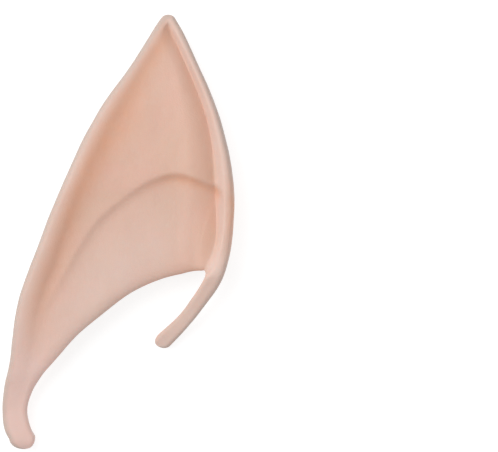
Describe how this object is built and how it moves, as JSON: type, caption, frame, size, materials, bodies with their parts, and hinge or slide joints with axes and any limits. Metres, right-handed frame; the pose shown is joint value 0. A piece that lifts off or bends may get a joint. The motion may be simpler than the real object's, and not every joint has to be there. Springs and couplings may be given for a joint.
{
  "type": "elf ear tip",
  "caption": "Pointed latex ear tip: a hollow shell that slips over the top of a real ear, with a rolled rim, a curved fold, a tail behind the ear and a short strap in front.",
  "frame": {"origin": "under the middle of the ear's box, on the surface that it lies on", "axes": "+Y towards the pointed tip, +X towards the wearer's face, +Z out of the ear's face"},
  "size_m": [0.064, 0.1198, 0.0131],
  "materials": {
    "latex": "matte"
  },
  "bodies": {
    "root": {"ear_shell": "latex"}
  },
  "joints": []
}
